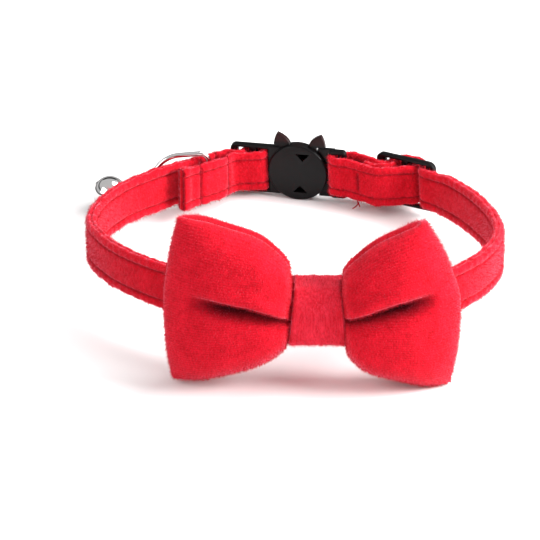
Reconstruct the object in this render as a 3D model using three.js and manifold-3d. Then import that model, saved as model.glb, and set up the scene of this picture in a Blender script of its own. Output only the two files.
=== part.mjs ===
// A cat's bow tie collar, lying on a table: one padded velvet strap threaded through a
// breakaway buckle and a slider, with a bow held by a knot band, and a bell on a D-ring.
// Millimetres. Along the collar's own plane u runs to the right, v to the back, and n
// across the strap's width; the collar is then tilted onto its three resting places.
import * as THREE from "three";
import { mergeVertices } from "three/addons/utils/BufferGeometryUtils.js";
import Module from "manifold-3d";

const wasm = await Module();
wasm.setup();

// Strap and neck loop
const strapWidth = 10.4;
const strapThick = 2.4; // velvet over webbing, with puffed edges
const strapNarrow = 9.6; // the same strap where hardware or seams squeeze it
const strapPressed = 1.4;
const gap = 0.3; // clearance that every two neighbours keep
const loopHalfWidth = 45.0; // both to the middle of the strap
const loopHalfDepth = 38.4;

// Breakaway buckle
const discRadius = 7.0;
const discDepth = 3.9;
const rimDepth = 2.4; // behind the rim the disc tapers
const discAt = { side: -0.0089, back: 1.0417 }; // its face's middle: shares of the half sizes
const buckleTurn = -13; // degrees about n
const buckleLean = 8; // degrees, top towards the neck
const barThick = 1.6;
const barMid = 1.4; // from the disc's face to the middle of the bars
const midBarWidth = 1.9;
const endBarWidth = 1.8;
const railWidth = 0.85;
const wallThick = 1.0; // the disc's face, in front of the pocket
const backThick = 1.3;
const pocketRadius = 6.1;
const earTip = 9.5;
const earShift = 0.4; // both ears stand nearer the plug
const earSide = 5.1;
const earThick = 1.3;
const windowSide = 3.4;
const mouthAt = 4.4; // the pocket is open at the sides from here on

// Slider
const sliderLength = 15.3;
const sliderAt = { side: 0.5489, back: 0.9089 };
const sliderCorner = 1.6;
const sliderTurn = -33;
const sliderLean = 6;
const centreBarWidth = 2.0;

// Bow and knot
const bowAcross = 3.9; // the knot stands this far to the right of the neck loop's middle
const lobeReach = 32.4;
const bowHalfHeight = 18.5;
const bowRise = 3.5; // the left lobe's middle above the strap's
const bowWall = 2.2;
const bowPinch = 6.0; // thickness of the gathered cloth under the knot
const lobePuff = 9.0;
const creaseDepth = 4.0;
const strapAtKnot = 1.9;
const knotWidth = 12.0;
const knotWall = 1.2;

// Ring, jump ring and bell
const ringWire = 1.2;
const ringHalfHeight = 6.2; // to the middle of the wire
const ringSide = 6.65; // straight sides, from the bar to the round end
const ringCorner = 2.0;
const ringLift = 0.2; // the bar slides up in its loop
const ringTurn = 190;
const jumpRadius = 3.2;
const jumpWire = 0.9;
const bellRadius = 4.0;
const bellWall = 0.5;
const bellLoop = 1.5;
const bellLoopWire = 0.8;
const bellPitch = 15; // degrees that the bell's loop points up
const dropTurn = -16; // from the D-ring's own direction to the bell's
const bellSlot = 0.9;
const pelletRadius = 1.2;

const deg = THREE.MathUtils.degToRad;
const cloth = (name, colour) => finish(name, colour, 0.95, 0);
const finish = (name, color, roughness, metalness) =>
  new THREE.MeshStandardMaterial({ name, color, roughness, metalness });
const velvet = cloth("velvet", 0xd8142c);
const bowVelvet = cloth("bow_velvet", 0xd01528);
const plastic = finish("black_plastic", 0x1d191b, 0.35, 0);
const chrome = finish("chrome", 0xc9ccd0, 0.15, 1);

// Joins rings of points into one closed skin: the last ring meets the first, or both
// ends are closed by a fan round the ring's middle.
function skin(rings, loop) {
  const sides = rings[0].length;
  const points = rings.flat();
  const faces = [];
  const last = loop ? rings.length : rings.length - 1;
  for (let i = 0; i < last; i++) {
    for (let j = 0; j < sides; j++) {
      const a = i * sides + j;
      const b = i * sides + ((j + 1) % sides);
      const c = ((i + 1) % rings.length) * sides + ((j + 1) % sides);
      const d = ((i + 1) % rings.length) * sides + j;
      faces.push(a, c, b, a, d, c);
    }
  }
  if (!loop) {
    for (const [ring, flip] of [[0, true], [rings.length - 1, false]]) {
      const middle = new THREE.Vector3();
      rings[ring].forEach((p) => middle.add(p));
      points.push(middle.divideScalar(sides));
      for (let j = 0; j < sides; j++) {
        const a = ring * sides + j;
        const b = ring * sides + ((j + 1) % sides);
        faces.push(...(flip ? [points.length - 1, a, b] : [points.length - 1, b, a]));
      }
    }
  }
  return new THREE.BufferGeometry().setFromPoints(points).setIndex(faces);
}

// A geometry as a solid that can be joined and cut, and back.
function solid(geometry) {
  const bare = geometry.clone();
  bare.deleteAttribute("normal");
  bare.deleteAttribute("uv");
  const merged = mergeVertices(bare, 1e-4);
  return new wasm.Manifold(
    new wasm.Mesh({
      numProp: 3,
      vertProperties: new Float32Array(merged.attributes.position.array),
      triVerts: new Uint32Array(merged.index.array),
    }),
  );
}

function geometryOf(made) {
  const mesh = made.getMesh();
  return new THREE.BufferGeometry()
    .setAttribute("position", new THREE.BufferAttribute(mesh.vertProperties, 3))
    .setIndex(new THREE.BufferAttribute(mesh.triVerts, 1));
}

function piece(name, geometry, material, parent) {
  const mesh = new THREE.Mesh(geometry, material);
  mesh.name = name;
  parent.add(mesh);
  return mesh;
}

// Hardware frames lie in the collar's plane: x along the strap, y outwards, z across.
function hardwareFrame(at, turn, lean) {
  const frame = new THREE.Group();
  frame.position.set(at.side * loopHalfWidth, at.back * loopHalfDepth, 0);
  frame.rotation.set(deg(lean), 0, deg(turn), "ZXY");
  frame.updateMatrix();
  return frame;
}

// A plate of the given outline, whose thickness runs outwards from one depth to another.
function plate(shape, from, to, bevel = 0.25, curveSegments = 4) {
  const made = new THREE.ExtrudeGeometry(shape, {
    depth: to - from - 2 * bevel,
    bevelEnabled: bevel > 0,
    bevelSize: bevel,
    bevelOffset: -bevel,
    bevelThickness: bevel,
    bevelSegments: 1,
    curveSegments,
  });
  made.translate(0, 0, from + bevel);
  // The outline's second axis is the strap's width, and its thickness runs outwards.
  made.applyMatrix4(new THREE.Matrix4().makeBasis(
    new THREE.Vector3(1, 0, 0), new THREE.Vector3(0, 0, 1), new THREE.Vector3(0, -1, 0),
  ));
  made.scale(1, -1, 1);
  made.setIndex(null);
  return flipped(made);
}

// Turns every face of loose triangles round, after a mirror.
function flipped(geometry) {
  const p = geometry.attributes.position.array;
  for (let i = 0; i < p.length; i += 9) {
    for (let k = 0; k < 3; k++) {
      [p[i + 3 + k], p[i + 6 + k]] = [p[i + 6 + k], p[i + 3 + k]];
    }
  }
  return geometry;
}

function roundedBox(x0, x1, halfHeight, corner) {
  const shape = new THREE.Shape();
  shape.moveTo(x0 + corner, -halfHeight);
  shape.lineTo(x1 - corner, -halfHeight);
  shape.absarc(x1 - corner, corner - halfHeight, corner, -Math.PI / 2, 0);
  shape.absarc(x1 - corner, halfHeight - corner, corner, 0, Math.PI / 2);
  shape.absarc(x0 + corner, halfHeight - corner, corner, Math.PI / 2, Math.PI);
  shape.absarc(x0 + corner, corner - halfHeight, corner, Math.PI, 1.5 * Math.PI);
  return shape;
}

function opening(x0, x1, halfHeight) {
  const hole = new THREE.Shape();
  hole.moveTo(x0, -halfHeight);
  hole.lineTo(x1, -halfHeight);
  hole.lineTo(x1, halfHeight);
  hole.lineTo(x0, halfHeight);
  return hole;
}

// A frame with one opening, crossed by bars.
function ladder(outline, from, to, bars) {
  const [near, far] = [barMid - barThick / 2, barMid + barThick / 2];
  outline.holes.push(opening(from, to, slotHalf));
  let made = solid(plate(outline, near, far));
  for (const bar of bars) {
    const rung = opening(bar.from, bar.to, slotHalf + railWidth / 2);
    made = made.add(solid(plate(rung, near, far)));
  }
  return made;
}

// Where the strap runs beside the bars: wrap is its middle's distance from a bar's middle.
const wrap = barThick / 2 + gap + strapPressed / 2;
const layer = strapPressed + gap;
const slotHalf = strapNarrow / 2 + 1.5 * gap;
const frameHalf = slotHalf + railWidth;
const nose = 0.3; // how far a bar's edge stands past the middle of the strap's turn
const turnAt = discRadius + gap + strapPressed / 2 + wrap;
const midBar = { near: turnAt - nose, far: turnAt - nose + midBarWidth };
const foldAt = midBar.far - 0.5;
const endFoldAt = foldAt + 2 * wrap;
const endBar = { near: endFoldAt - 0.5, far: endFoldAt - 0.5 + endBarWidth };
const centreTurn = centreBarWidth / 2 - nose;
const slotRun = centreTurn + wrap + layer; // the outer strap's place in both slots
const sliderFold = slotRun + wrap;
const sliderBar = { near: sliderFold - 0.55, far: sliderLength / 2 };

const buckle = hardwareFrame(discAt, buckleTurn, buckleLean);
const slider = hardwareFrame(sliderAt, sliderTurn, sliderLean);
const neck = new THREE.Group();

// The strap's route, from the sewn flap on the left, forward round the neck, and back to
// the sewn flap on the right. x and y lie in a hardware frame, or are shares of the neck
// loop's two half sizes; thick is the strap's thickness there.
const thin = strapPressed;
const route = [];
const go = (frame, x, y, thick, lean = 0) => {
  const middle = new THREE.Vector3(x, y, 0).applyMatrix4(frame.matrix);
  const slope = Math.tan(deg(lean));
  const turn = frame.rotation.z;
  route.push({
    middle, thick, leanU: slope * Math.sin(turn), leanV: -slope * Math.cos(turn),
  });
};
const arc = (frame, x, y, radius, from, to, steps, lean) => {
  for (let i = 0; i <= steps; i++) {
    const a = deg(from + ((to - from) * i) / steps);
    go(frame, x + radius * Math.cos(a), y + radius * Math.sin(a), thin, lean);
  }
};
const leftFlap = [
  { side: -0.592, back: 0.778, thick: 2.2 },
  { side: -0.52, back: 0.84, thick: 1.8 },
  { side: -0.433, back: 0.918, thick: 1.5 },
  { side: -0.38, back: 0.985, thick: 1.4 },
];
const neckLoop = [
  { side: -0.425, back: 1.075, thick: 1.4 },
  { side: -0.487, back: 1.013, thick: 1.5 },
  { side: -0.585, back: 0.915, thick: 1.9 },
  { side: -0.69, back: 0.8, thick: 2.4 },
  { side: -0.86, back: 0.575, thick: 2.4 },
  { side: -0.975, back: 0.285, thick: 2.4 },
  { side: -1.01, back: -0.03, thick: 2.4 },
  { side: -0.945, back: -0.27, thick: 2.4 },
  { side: -0.805, back: -0.52, thick: 2.4 },
  { side: -0.6, back: -0.745, thick: 2.4 },
  { side: -0.32, back: -0.935, thick: 2.4 },
  { side: -0.06, back: -0.992, thick: strapAtKnot },
  { side: 0.09, back: -1.0, thick: strapAtKnot },
  { side: 0.24, back: -0.992, thick: strapAtKnot },
  { side: 0.51, back: -0.915, thick: 2.4 },
  { side: 0.735, back: -0.755, thick: 2.4 },
  { side: 0.885, back: -0.505, thick: 2.4 },
  { side: 0.965, back: -0.2, thick: 2.4 },
  { side: 0.945, back: 0.1, thick: 2.4 },
  { side: 0.865, back: 0.39, thick: 2.4 },
  { side: 0.765, back: 0.62, thick: 2.2 },
];
for (const row of leftFlap) {
  go(neck, row.side * loopHalfWidth, row.back * loopHalfDepth, row.thick);
}
go(buckle, -endFoldAt, barMid - wrap - layer, thin, buckleLean / 2);
go(buckle, -foldAt - 0.9, barMid - wrap - 0.45, thin, buckleLean);
arc(buckle, -turnAt, barMid, wrap, -90, 90, 6, buckleLean);
arc(buckle, -foldAt, barMid, wrap, 90, 180, 3, buckleLean);
arc(buckle, -endFoldAt, barMid, wrap, -22, -90, 3, buckleLean);
go(buckle, -endBar.far - 0.4, barMid - wrap - 0.1, thin, buckleLean / 2);
for (const row of neckLoop) {
  go(neck, row.side * loopHalfWidth, row.back * loopHalfDepth, row.thick);
}
go(slider, sliderBar.far + 1.2, -wrap - 0.3, 1.8, sliderLean);
arc(slider, sliderFold, 0, wrap, -90, -180, 3, sliderLean);
arc(slider, centreTurn, 0, wrap + layer, 22, 90, 3, sliderLean);
arc(slider, -centreTurn, 0, wrap + layer, 90, 158, 3, sliderLean);
arc(slider, -sliderFold, 0, wrap, 0, -90, 3, sliderLean);
go(buckle, midBar.far + 1.6, barMid + wrap + 0.2, thin, buckleLean);
go(buckle, turnAt + 0.9, barMid + wrap, thin, buckleLean);
arc(buckle, turnAt, barMid, -wrap, -90, 90, 6, buckleLean);
go(buckle, midBar.far, barMid - wrap, thin, buckleLean);
go(slider, -sliderFold - 1.6, -wrap - 2 * layer - 0.1, thin, sliderLean);
go(slider, -sliderFold + 1.4, -wrap - 2 * layer - 0.1, thin, sliderLean);
go(slider, -centreTurn - 1.7, -wrap - 1.3 * layer, thin, sliderLean);
arc(slider, centreTurn, 0, wrap, -90, 90, 6, sliderLean);
arc(slider, -centreTurn, 0, wrap, 90, 180, 3, sliderLean);
go(slider, -centreTurn - wrap - 0.5, -wrap, thin, sliderLean);
go(slider, -sliderFold + 0.2, -wrap - layer, thin, sliderLean);
go(slider, -sliderFold - 3.0, -wrap - layer, thin, sliderLean);

// The ring's bar stands in the sewn loop, midway between its two layers.
const ringLoop = [leftFlap[2], neckLoop[1]];
const ringAt = {
  u: (loopHalfWidth * (ringLoop[0].side + ringLoop[1].side)) / 2,
  v: (loopHalfDepth * (ringLoop[0].back + ringLoop[1].back)) / 2,
};

// Half of the strap's section, as shares of its half width and half thickness.
const strapSection = [
  { wide: 0.74, deep: 1.0 },
  { wide: 0.94, deep: 0.74 },
  { wide: 1.0, deep: 0.0 },
  { wide: 0.94, deep: -0.74 },
  { wide: 0.74, deep: -1.0 },
];
function strapGeometry() {
  const middle = new THREE.CatmullRomCurve3(route.map((p) => p.middle), false, "centripetal");
  const size = new THREE.CatmullRomCurve3(
    route.map((p) => new THREE.Vector3(p.thick, p.leanU, p.leanV)), false, "catmullrom", 0,
  );
  const steps = 2 * (route.length - 1);
  const rings = [];
  for (let i = 0; i <= steps; i++) {
    const at = middle.getPoint(i / steps);
    const along = middle.getTangent(i / steps);
    const { x: thick, y: leanU, z: leanV } = size.getPoint(i / steps);
    const across = new THREE.Vector3(leanU, leanV, 1);
    const pressed = (strapThick - thick) / (strapThick - strapPressed);
    const halfWidth = THREE.MathUtils.lerp(strapWidth, strapNarrow, pressed) / 2;
    const out = new THREE.Vector3(along.y, -along.x, 0);
    rings.push([1, -1].flatMap((half) => strapSection.map(({ wide, deep }) => at.clone()
      .addScaledVector(across, half * wide * halfWidth)
      .addScaledVector(out, (half * deep * thick) / 2))));
  }
  return skin(rings, false);
}

const collar = new THREE.Group();
collar.add(buckle, slider);
piece("collar_strap", strapGeometry(), velvet, collar);

// Buckle housing: the round body with ears, its pocket, and the two-slot frame
function earShape(side) {
  const shape = new THREE.Shape();
  const at = (across) => side * across + earShift;
  shape.moveTo(at(1.7), 5.0);
  shape.lineTo(at(2.1), 6.7);
  shape.quadraticCurveTo(at(2.6), 8.5, at(earSide), earTip);
  shape.quadraticCurveTo(at(6.0), 8.3, at(6.1), 5.9);
  shape.lineTo(at(4.0), 4.0);
  return shape;
}
function windowShape(middle, base, apex) {
  const shape = new THREE.Shape();
  shape.moveTo(middle - windowSide / 2, base);
  shape.lineTo(middle + windowSide / 2, base);
  shape.lineTo(middle, apex);
  return shape;
}
function housingGeometry() {
  const disc = new THREE.LatheGeometry([
    [0, 0], [discRadius - 0.3, 0], [discRadius, 0.3], [discRadius, rimDepth],
    [discRadius - discDepth + rimDepth, discDepth], [0, discDepth],
  ].map(([across, out]) => new THREE.Vector2(across, out)), 40);
  const frame = roundedBox(-endBar.far, -discRadius * 0.5, frameHalf, 1.3);
  const midRung = { from: -midBar.far, to: -midBar.near };
  const pocket = new THREE.Shape().absarc(0, 0, pocketRadius, 0, 2 * Math.PI);
  const mouth = opening(mouthAt, 2 * discRadius, frameHalf + gap);
  const pocketTo = discDepth - backThick;
  let made = solid(disc);
  made = made.add(ladder(frame, -endBar.near, -discRadius, [midRung]));
  for (const side of [-1, 1]) {
    made = made.add(solid(plate(earShape(side), rimDepth - earThick, rimDepth, 0.2)));
  }
  made = made.subtract(solid(plate(pocket, wallThick, pocketTo, 0, 32)));
  made = made.subtract(solid(plate(mouth, wallThick, pocketTo, 0)));
  for (const window of [windowShape(1.3, 5.0, 3.1), windowShape(0.5, -5.0, -3.2)]) {
    made = made.subtract(solid(plate(window, -1, wallThick + 0.2, 0)));
  }
  return geometryOf(made);
}
const housing = piece("buckle_housing", housingGeometry(), plastic, buckle);

// Buckle plug: a one-slot frame whose tongue snaps into the housing's pocket
function plugGeometry() {
  const tongueFrom = wallThick + gap;
  const tongueTo = discDepth - backThick - gap;
  const root = mouthAt + gap;
  const frame = roundedBox(discRadius + gap, midBar.near + endBarWidth, frameHalf, 0.9);
  const yoke = opening(root, discRadius + 1.6, frameHalf);
  const slot = opening(discRadius, midBar.near, slotHalf);
  const tongue = new THREE.Shape();
  tongue.moveTo(root + 0.5, 3.4);
  tongue.lineTo(-1.4, 3.4);
  tongue.lineTo(-1.6, 4.7);
  tongue.lineTo(-3.4, 3.4);
  tongue.lineTo(-3.4, 1.6);
  tongue.lineTo(2.6, 1.6);
  tongue.lineTo(2.6, -1.6);
  tongue.lineTo(-3.4, -1.6);
  tongue.lineTo(-3.4, -3.4);
  tongue.lineTo(-1.6, -4.7);
  tongue.lineTo(-1.4, -3.4);
  tongue.lineTo(root + 0.5, -3.4);
  let made = solid(plate(frame, barMid - barThick / 2, barMid + barThick / 2));
  made = made.add(solid(plate(yoke, tongueFrom, tongueTo, 0)));
  made = made.add(solid(plate(tongue, tongueFrom, tongueTo, 0)));
  made = made.subtract(solid(plate(slot, 0, discDepth, 0)));
  return geometryOf(made);
}
piece("buckle_plug", plugGeometry(), plastic, buckle);

// Slider: three bars between two rails
function sliderGeometry() {
  const frame = roundedBox(-sliderBar.far, sliderBar.far, frameHalf, sliderCorner);
  const centreBar = { from: -centreBarWidth / 2, to: centreBarWidth / 2 };
  const made = ladder(frame, -sliderBar.near, sliderBar.near, [centreBar]);
  return geometryOf(made.translate([0, -barMid, 0]));
}
piece("strap_slider", sliderGeometry(), plastic, slider);

// Bow: one padded band, sewn into a ring that is open at its top and bottom and pinched in
// the middle by the knot. A row for each section, from the knot out to the fold.
const lobeSections = [
  { out: 0.0, high: 0.2, left: 0.0, right: 0.0, front: 0.333, back: 0.333 },
  { out: 0.21, high: 0.2, left: 0.0, right: 0.0, front: 0.333, back: 0.333 },
  { out: 0.23, high: 0.5, left: 0.6, right: 0.1, front: 0.45, back: 0.32 },
  { out: 0.38, high: 0.76, left: 0.96, right: 0.38, front: 0.72, back: 0.33 },
  { out: 0.6, high: 0.89, left: 0.98, right: 0.56, front: 0.97, back: 0.36 },
  { out: 0.8, high: 0.97, left: 1.0, right: 0.6, front: 0.98, back: 0.5 },
  { out: 1.0, high: 1.0, left: 1.0, right: 0.7, front: 0.8, back: 0.6 },
];
// How far each lobe reaches at each height, as a share of the longest reach.
const lobeEdges = [
  { out: -1.0, left: 0.95, right: 0.865 },
  { out: -0.5, left: 0.99, right: 0.915 },
  { out: 0.0, left: 1.0, right: 0.93 },
  { out: 0.5, left: 0.965, right: 0.85 },
  { out: 1.0, left: 0.9, right: 0.7 },
];
function section(rows, key, at) {
  const after = Math.max(1, rows.findIndex((row) => row.out >= at - 1e-9));
  const [a, b] = [rows[after - 1], rows[after]];
  return THREE.MathUtils.lerp(a[key], b[key], (at - a.out) / (b.out - a.out));
}
const strapFront = -loopHalfDepth - strapAtKnot / 2; // the strap's outer face there
const pinchMid = strapFront - gap - bowPinch / 2;
const bandRows = [-1, -0.85, -0.6, -0.35, -0.15, 0, 0.15, 0.35, 0.6, 0.85, 1];
function bowPoint(angle, row, inner) {
  const side = Math.cos(angle) < 0 ? -1 : 1;
  const lobe = side < 0 ? "left" : "right";
  const out = Math.abs(Math.cos(angle)) ** 0.8;
  const fold = (1 - out ** 6) ** 0.5;
  const longest = lobeReach * section(lobeEdges, lobe, 0);
  const edgeReach = lobeReach * section(lobeEdges, lobe, row);
  const reach = THREE.MathUtils.lerp(longest, edgeReach, out ** 2);
  const wall = inner ? bowWall : 0;
  const edge = 0.3 + 0.7 * (1 - Math.abs(row) ** 6);
  const crease = creaseDepth * Math.exp(-((row / 0.16) ** 2)) * Math.max(0, 1 - out / 0.85)
    * Math.min(1, out / 0.25);
  const front = Math.sin(angle) < 0;
  const full = lobePuff * section(lobeSections, front ? "front" : "back", out);
  const deep = out < 0.21 ? full : full * edge - (front ? crease : 0);
  const left = Math.max(deep - wall, inner ? gap / 2 : 0);
  return new THREE.Vector3(
    bowAcross + side * (out * reach - wall * out ** 4),
    pinchMid + (front ? -1 : 1) * left * fold,
    bowRise * section(lobeSections, lobe, out) + row * (inner ? 0.98 : 1)
      * bowHalfHeight * section(lobeSections, "high", out),
  );
}
function bowGeometry() {
  const steps = 64;
  const rings = [];
  for (let i = 0; i < steps; i++) {
    const angle = (2 * Math.PI * (i + 0.5)) / steps;
    const outside = bandRows.map((row) => bowPoint(angle, row, false));
    const inside = bandRows.map((row) => bowPoint(angle, row, true)).reverse();
    rings.push([...outside, ...inside]);
  }
  return skin(rings, true);
}
const bow = piece("bow_band", bowGeometry(), bowVelvet, collar);

// Knot: a folded band round the gathered bow and the strap
function knotGeometry() {
  const inFront = pinchMid - bowPinch / 2 - gap;
  const inBack = -loopHalfDepth + strapAtKnot / 2 + 2 * gap;
  const halfDepth = (inBack - inFront) / 2;
  const halfHeight = (strapWidth + strapNarrow) / 4 + 1.5 * gap;
  const steps = 28;
  const rings = [];
  for (let i = 0; i < steps; i++) {
    const a = (2 * Math.PI * i) / steps;
    const ring = [];
    const reach = (grow, squareness) => new THREE.Vector3(0,
      (halfDepth + grow) * Math.sign(Math.cos(a)) * Math.abs(Math.cos(a)) ** squareness,
      (halfHeight + grow) * Math.sign(Math.sin(a)) * Math.abs(Math.sin(a)) ** squareness);
    for (const [across, grow] of [[-1, 0], [-1, 0.8], [-0.9, 1], [0, 1.05], [0.9, 1],
      [1, 0.8], [1, 0]]) {
      ring.push(reach(grow * knotWall, 0.35).add(
        new THREE.Vector3(bowAcross + (across * knotWidth) / 2, (inFront + inBack) / 2, 0),
      ));
    }
    rings.push(ring);
  }
  return skin(rings, true);
}
piece("bow_knot", knotGeometry(), bowVelvet, collar);

// The collar lies on the buckle's disc and the bow's two lower corners: its tilt is the
// one at which both reach equally low.
buckle.updateMatrix();
const restsAt = [bow.geometry, housing.geometry.clone().applyMatrix4(buckle.matrix)];
const lowest = (geometry, tilt) => {
  const p = geometry.attributes.position;
  let low = Infinity;
  for (let i = 0; i < p.count; i++) {
    low = Math.min(low, p.getZ(i) * Math.cos(tilt) - p.getY(i) * Math.sin(tilt));
  }
  return low;
};
let [least, most] = [0, deg(20)];
for (let i = 0; i < 40; i++) {
  const tilt = (least + most) / 2;
  const [bowLow, buckleLow] = restsAt.map((geometry) => lowest(geometry, tilt));
  [least, most] = bowLow < buckleLow ? [tilt, most] : [least, tilt];
}
collar.rotation.x = -least;
collar.position.z = -lowest(restsAt[0], least);

// The ring hangs in the sewn loop on the left, with its straight bar upright.
const pendant = new THREE.Group();
pendant.position.set(ringAt.u, ringAt.v * Math.cos(least), 0);
pendant.rotation.z = deg(ringTurn);
const barHeight = collar.position.z - ringAt.v * Math.sin(least) + ringLift;

// A closed wire bent in the plane of x and z.
function wireRings(points, radius, sides) {
  return points.map((p, i) => {
    const before = points[(i + points.length - 1) % points.length];
    const after = points[(i + 1) % points.length];
    const along = new THREE.Vector3().subVectors(after, before).normalize();
    const out = new THREE.Vector3(-along.z, 0, along.x);
    return Array.from({ length: sides }, (_, j) => {
      const a = (2 * Math.PI * j) / sides;
      return p.clone().addScaledVector(out, radius * Math.cos(a))
        .add(new THREE.Vector3(0, radius * Math.sin(a), 0));
    });
  });
}
function ringGeometry() {
  const outline = new THREE.Path();
  const [half, corner] = [ringHalfHeight, ringCorner];
  outline.moveTo(0, corner - half);
  outline.absarc(corner, corner - half, corner, Math.PI, 1.5 * Math.PI);
  outline.absarc(ringSide, 0, half, -Math.PI / 2, Math.PI / 2);
  outline.absarc(corner, half - corner, corner, Math.PI / 2, Math.PI);
  outline.closePath();
  const points = outline.getSpacedPoints(48).slice(0, -1);
  const path = points.map((p) => new THREE.Vector3(p.x, 0, p.y));
  return skin(wireRings(path, ringWire / 2, 8), true);
}
const ring = piece("d_ring", ringGeometry(), chrome, pendant);
ring.position.z = barHeight;

// The bell lies on the table, and its loop, the jump ring and the D-ring interlock.
const bellArm = bellRadius + bellLoop * 0.75;
const jumpHeight = bellRadius + bellArm * Math.sin(deg(bellPitch));
const hookDrop = barHeight - jumpHeight;
const drop = new THREE.Group();
drop.position.set(ringSide + Math.sqrt(ringHalfHeight ** 2 - hookDrop ** 2), 0, jumpHeight);
drop.rotation.z = deg(dropTurn);
pendant.add(drop);
const jumpIn = jumpRadius - jumpWire / 2 - gap;
const jump = piece("jump_ring", new THREE.TorusGeometry(jumpRadius, jumpWire / 2, 6, 28),
  chrome, drop);
jump.position.x = jumpIn - ringWire / 2;
const bell = new THREE.Group();
bell.position.x = jump.position.x + jumpIn - bellLoopWire / 2 + bellLoop;
bell.rotation.y = deg(bellPitch);
drop.add(bell);

function bellGeometry() {
  const round = (radius, around) =>
    solid(new THREE.SphereGeometry(radius, around, around / 2).rotateX(Math.PI / 2));
  const box = (x, y, z, at) => solid(new THREE.BoxGeometry(x, y, z).translate(at, 0, 0));
  const loop = solid(new THREE.TorusGeometry(bellLoop, bellLoopWire / 2, 8, 20)
    .rotateX(Math.PI / 2).translate(-bellArm, 0, 0));
  let made = round(bellRadius, 24).add(loop);
  made = made.subtract(round(bellRadius - bellWall, 20));
  made = made.subtract(box(bellRadius, bellSlot, 2.1 * bellRadius, bellRadius));
  return geometryOf(made);
}
const shell = piece("bell_shell", bellGeometry(), chrome, bell);
shell.position.x = bellArm;
const pellet = piece("bell_pellet", new THREE.SphereGeometry(pelletRadius, 12, 8), chrome, bell);
pellet.position.set(bellArm, 0, -(bellRadius - bellWall - pelletRadius - gap));

// The part's own frame: the middle of its box, on the table.
const model = new THREE.Group();
model.add(collar, pendant);
model.updateMatrixWorld(true);
const box = new THREE.Box3().setFromObject(model, true);
const middle = box.getCenter(new THREE.Vector3());
model.position.set(-middle.x, -middle.y, -box.min.z);

export default model;
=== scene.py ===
# A cat's bow tie collar in red velvet, lying on a white table.
import math

import bmesh
import bpy
import numpy as np
from mathutils import Matrix, Vector


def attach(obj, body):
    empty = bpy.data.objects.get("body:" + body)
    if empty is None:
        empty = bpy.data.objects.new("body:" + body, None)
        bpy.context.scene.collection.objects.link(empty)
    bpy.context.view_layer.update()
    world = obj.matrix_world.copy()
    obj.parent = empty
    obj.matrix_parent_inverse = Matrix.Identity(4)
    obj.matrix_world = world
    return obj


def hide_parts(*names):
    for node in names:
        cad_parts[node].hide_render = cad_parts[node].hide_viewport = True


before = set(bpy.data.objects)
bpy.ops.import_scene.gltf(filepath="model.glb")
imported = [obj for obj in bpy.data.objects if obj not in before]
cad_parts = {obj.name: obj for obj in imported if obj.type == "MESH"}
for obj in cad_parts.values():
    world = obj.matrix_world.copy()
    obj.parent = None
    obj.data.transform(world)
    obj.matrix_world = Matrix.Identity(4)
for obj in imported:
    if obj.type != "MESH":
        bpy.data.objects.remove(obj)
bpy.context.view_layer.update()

# The table is a matt white card under a wide soft light from the right, with weaker ones
# overhead and on the left, and a black card behind it for the metal to reflect. The camera
# looks down at it from the front, from some way off.
loop_middle = Vector((0.001305, 0.002607, 0.011345))
camera_down = math.radians(28)
camera_far = 0.850
sensor_width = 36
view_width = 0.11868  # what the camera sees across, at the loop's middle
loop_in_view = (299 / 540 - 0.5, 0.5 - 238 / 540)  # the loop's middle, right and up of the view's


def linear(code):
    """An sRGB hex colour as linear red, green, blue and alpha."""
    parts = [int(code[i:i + 2], 16) / 255 for i in (1, 3, 5)]
    return (*[c / 12.92 if c <= 0.04045 else ((c + 0.055) / 1.055) ** 2.4 for c in parts], 1)


def add(tree, kind, inputs=None, **settings):
    """Adds a node, with settings, and with inputs that are values or other nodes' outputs."""
    made = tree.nodes.new(kind)
    for key, value in settings.items():
        setattr(made, key, value)
    for key, value in (inputs or {}).items():
        if isinstance(value, bpy.types.NodeSocket):
            tree.links.new(value, made.inputs[key])
        else:
            made.inputs[key].default_value = value
    return made


def surface(name, **settings):
    """A new material: its node tree and its Principled shader, with settings on its sockets."""
    made = bpy.data.materials.new(name)
    made.use_nodes = True
    shader = made.node_tree.nodes["Principled BSDF"]
    for key, value in settings.items():
        shader.inputs[key.replace("_", " ")].default_value = value
    return made, made.node_tree, shader


camera = bpy.data.objects.new("camera", bpy.data.cameras.new("camera"))
camera.data.sensor_width = sensor_width
camera.data.lens = sensor_width * camera_far / view_width
camera.data.shift_x, camera.data.shift_y = -loop_in_view[0], -loop_in_view[1]
camera.data.clip_end = 10
camera.location = loop_middle + camera_far * Vector(
    (0, -math.cos(camera_down), math.sin(camera_down)))
camera.rotation_euler = (math.pi / 2 - camera_down, 0, 0)
bpy.context.collection.objects.link(camera)
bpy.context.scene.camera = camera

table_half = 1.5
for name, corners, code in (  # matt card has no shine of its own
    ("table", [(x * table_half, y * table_half, 0)
               for x, y in ((-1, -1), (1, -1), (1, 1), (-1, 1))], "#FBFAFA"),
    ("black_card", [(-0.8, 1.2, 0.57), (0.6, 1.2, 0.57), (0.6, 1.35, 1.2), (-0.8, 1.35, 1.2)],
     "#060606"),
):
    card = bpy.data.meshes.new(name)
    card.from_pydata(corners, [], [(0, 1, 2, 3)])
    card.materials.append(surface(
        "matt_" + name, Base_Color=linear(code), Roughness=1.0, Specular_IOR_Level=0.0)[0])
    card = bpy.data.objects.new(name, card)
    bpy.context.collection.objects.link(card)

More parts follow.
